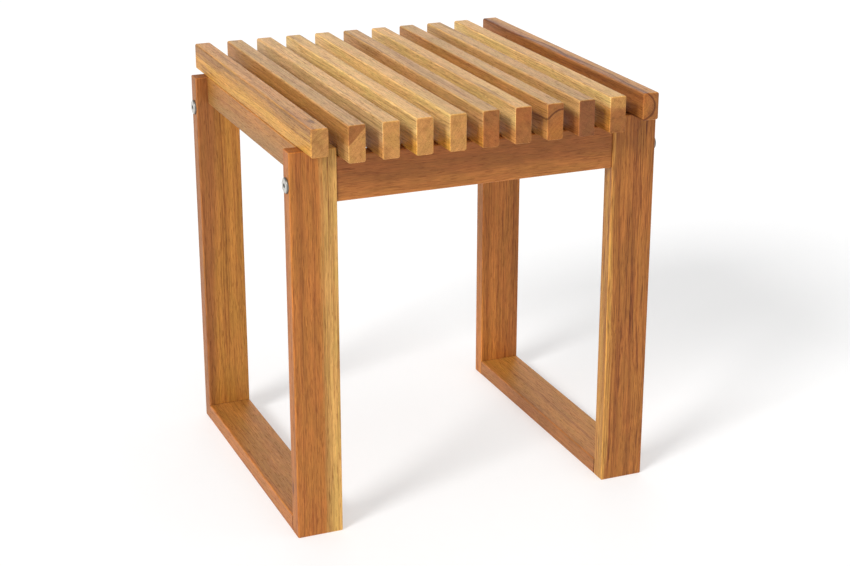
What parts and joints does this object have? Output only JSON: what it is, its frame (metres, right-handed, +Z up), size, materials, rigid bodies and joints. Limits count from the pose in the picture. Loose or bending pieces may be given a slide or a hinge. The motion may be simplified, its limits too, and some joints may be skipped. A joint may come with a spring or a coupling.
{
  "type": "shower stool",
  "caption": "Backless wooden shower stool: slatted seat on two open side frames, each closed by a rail on the floor, joined by front and back aprons.",
  "frame": {"origin": "on the floor, under the middle of the seat", "axes": "+Z up, +X to the right along the aprons, +Y to the back along the slats; the front is -Y"},
  "size_m": [0.4126, 0.402, 0.45],
  "materials": {
    "frame_wood": "oiled hardwood, straight grain along each board, honey to orange brown, satin",
    "apron_wood": "oiled hardwood, reddish brown, satin",
    "slat_tan": "oiled hardwood, pale tan, satin",
    "slat_golden": "oiled hardwood, golden yellow, satin",
    "slat_red_brown": "oiled hardwood, reddish brown with a paler top, satin",
    "slat_brown": "oiled hardwood, dark brown, satin",
    "dowel_wood": "pale bare hardwood dowels, hidden in the joints",
    "plated_steel": "bright zinc-plated steel, smooth"
  },
  "bodies": {
    "root": {"left_front_leg": "frame_wood", "left_back_leg": "frame_wood", "left_bottom_rail": "frame_wood", "left_top_rail": "frame_wood", "right_front_leg": "frame_wood", "right_back_leg": "frame_wood", "right_bottom_rail": "frame_wood", "right_top_rail": "frame_wood", "front_apron": "apron_wood", "back_apron": "apron_wood", "slat_01": "slat_tan", "slat_02": "slat_red_brown", "slat_03": "slat_tan", "slat_04": "slat_golden", "slat_05": "slat_golden", "slat_06": "slat_red_brown", "slat_07": "slat_golden", "slat_08": "slat_red_brown", "slat_09": "slat_brown", "slat_10": "slat_golden", "slat_11": "slat_brown", "frame_bolts": "plated_steel", "barrel_nuts": "plated_steel", "apron_dowels": "dowel_wood", "bottom_rail_dowels": "dowel_wood", "top_rail_dowels": "dowel_wood", "inner_slat_dowels": "dowel_wood", "outer_slat_dowels": "dowel_wood"}
  },
  "joints": []
}
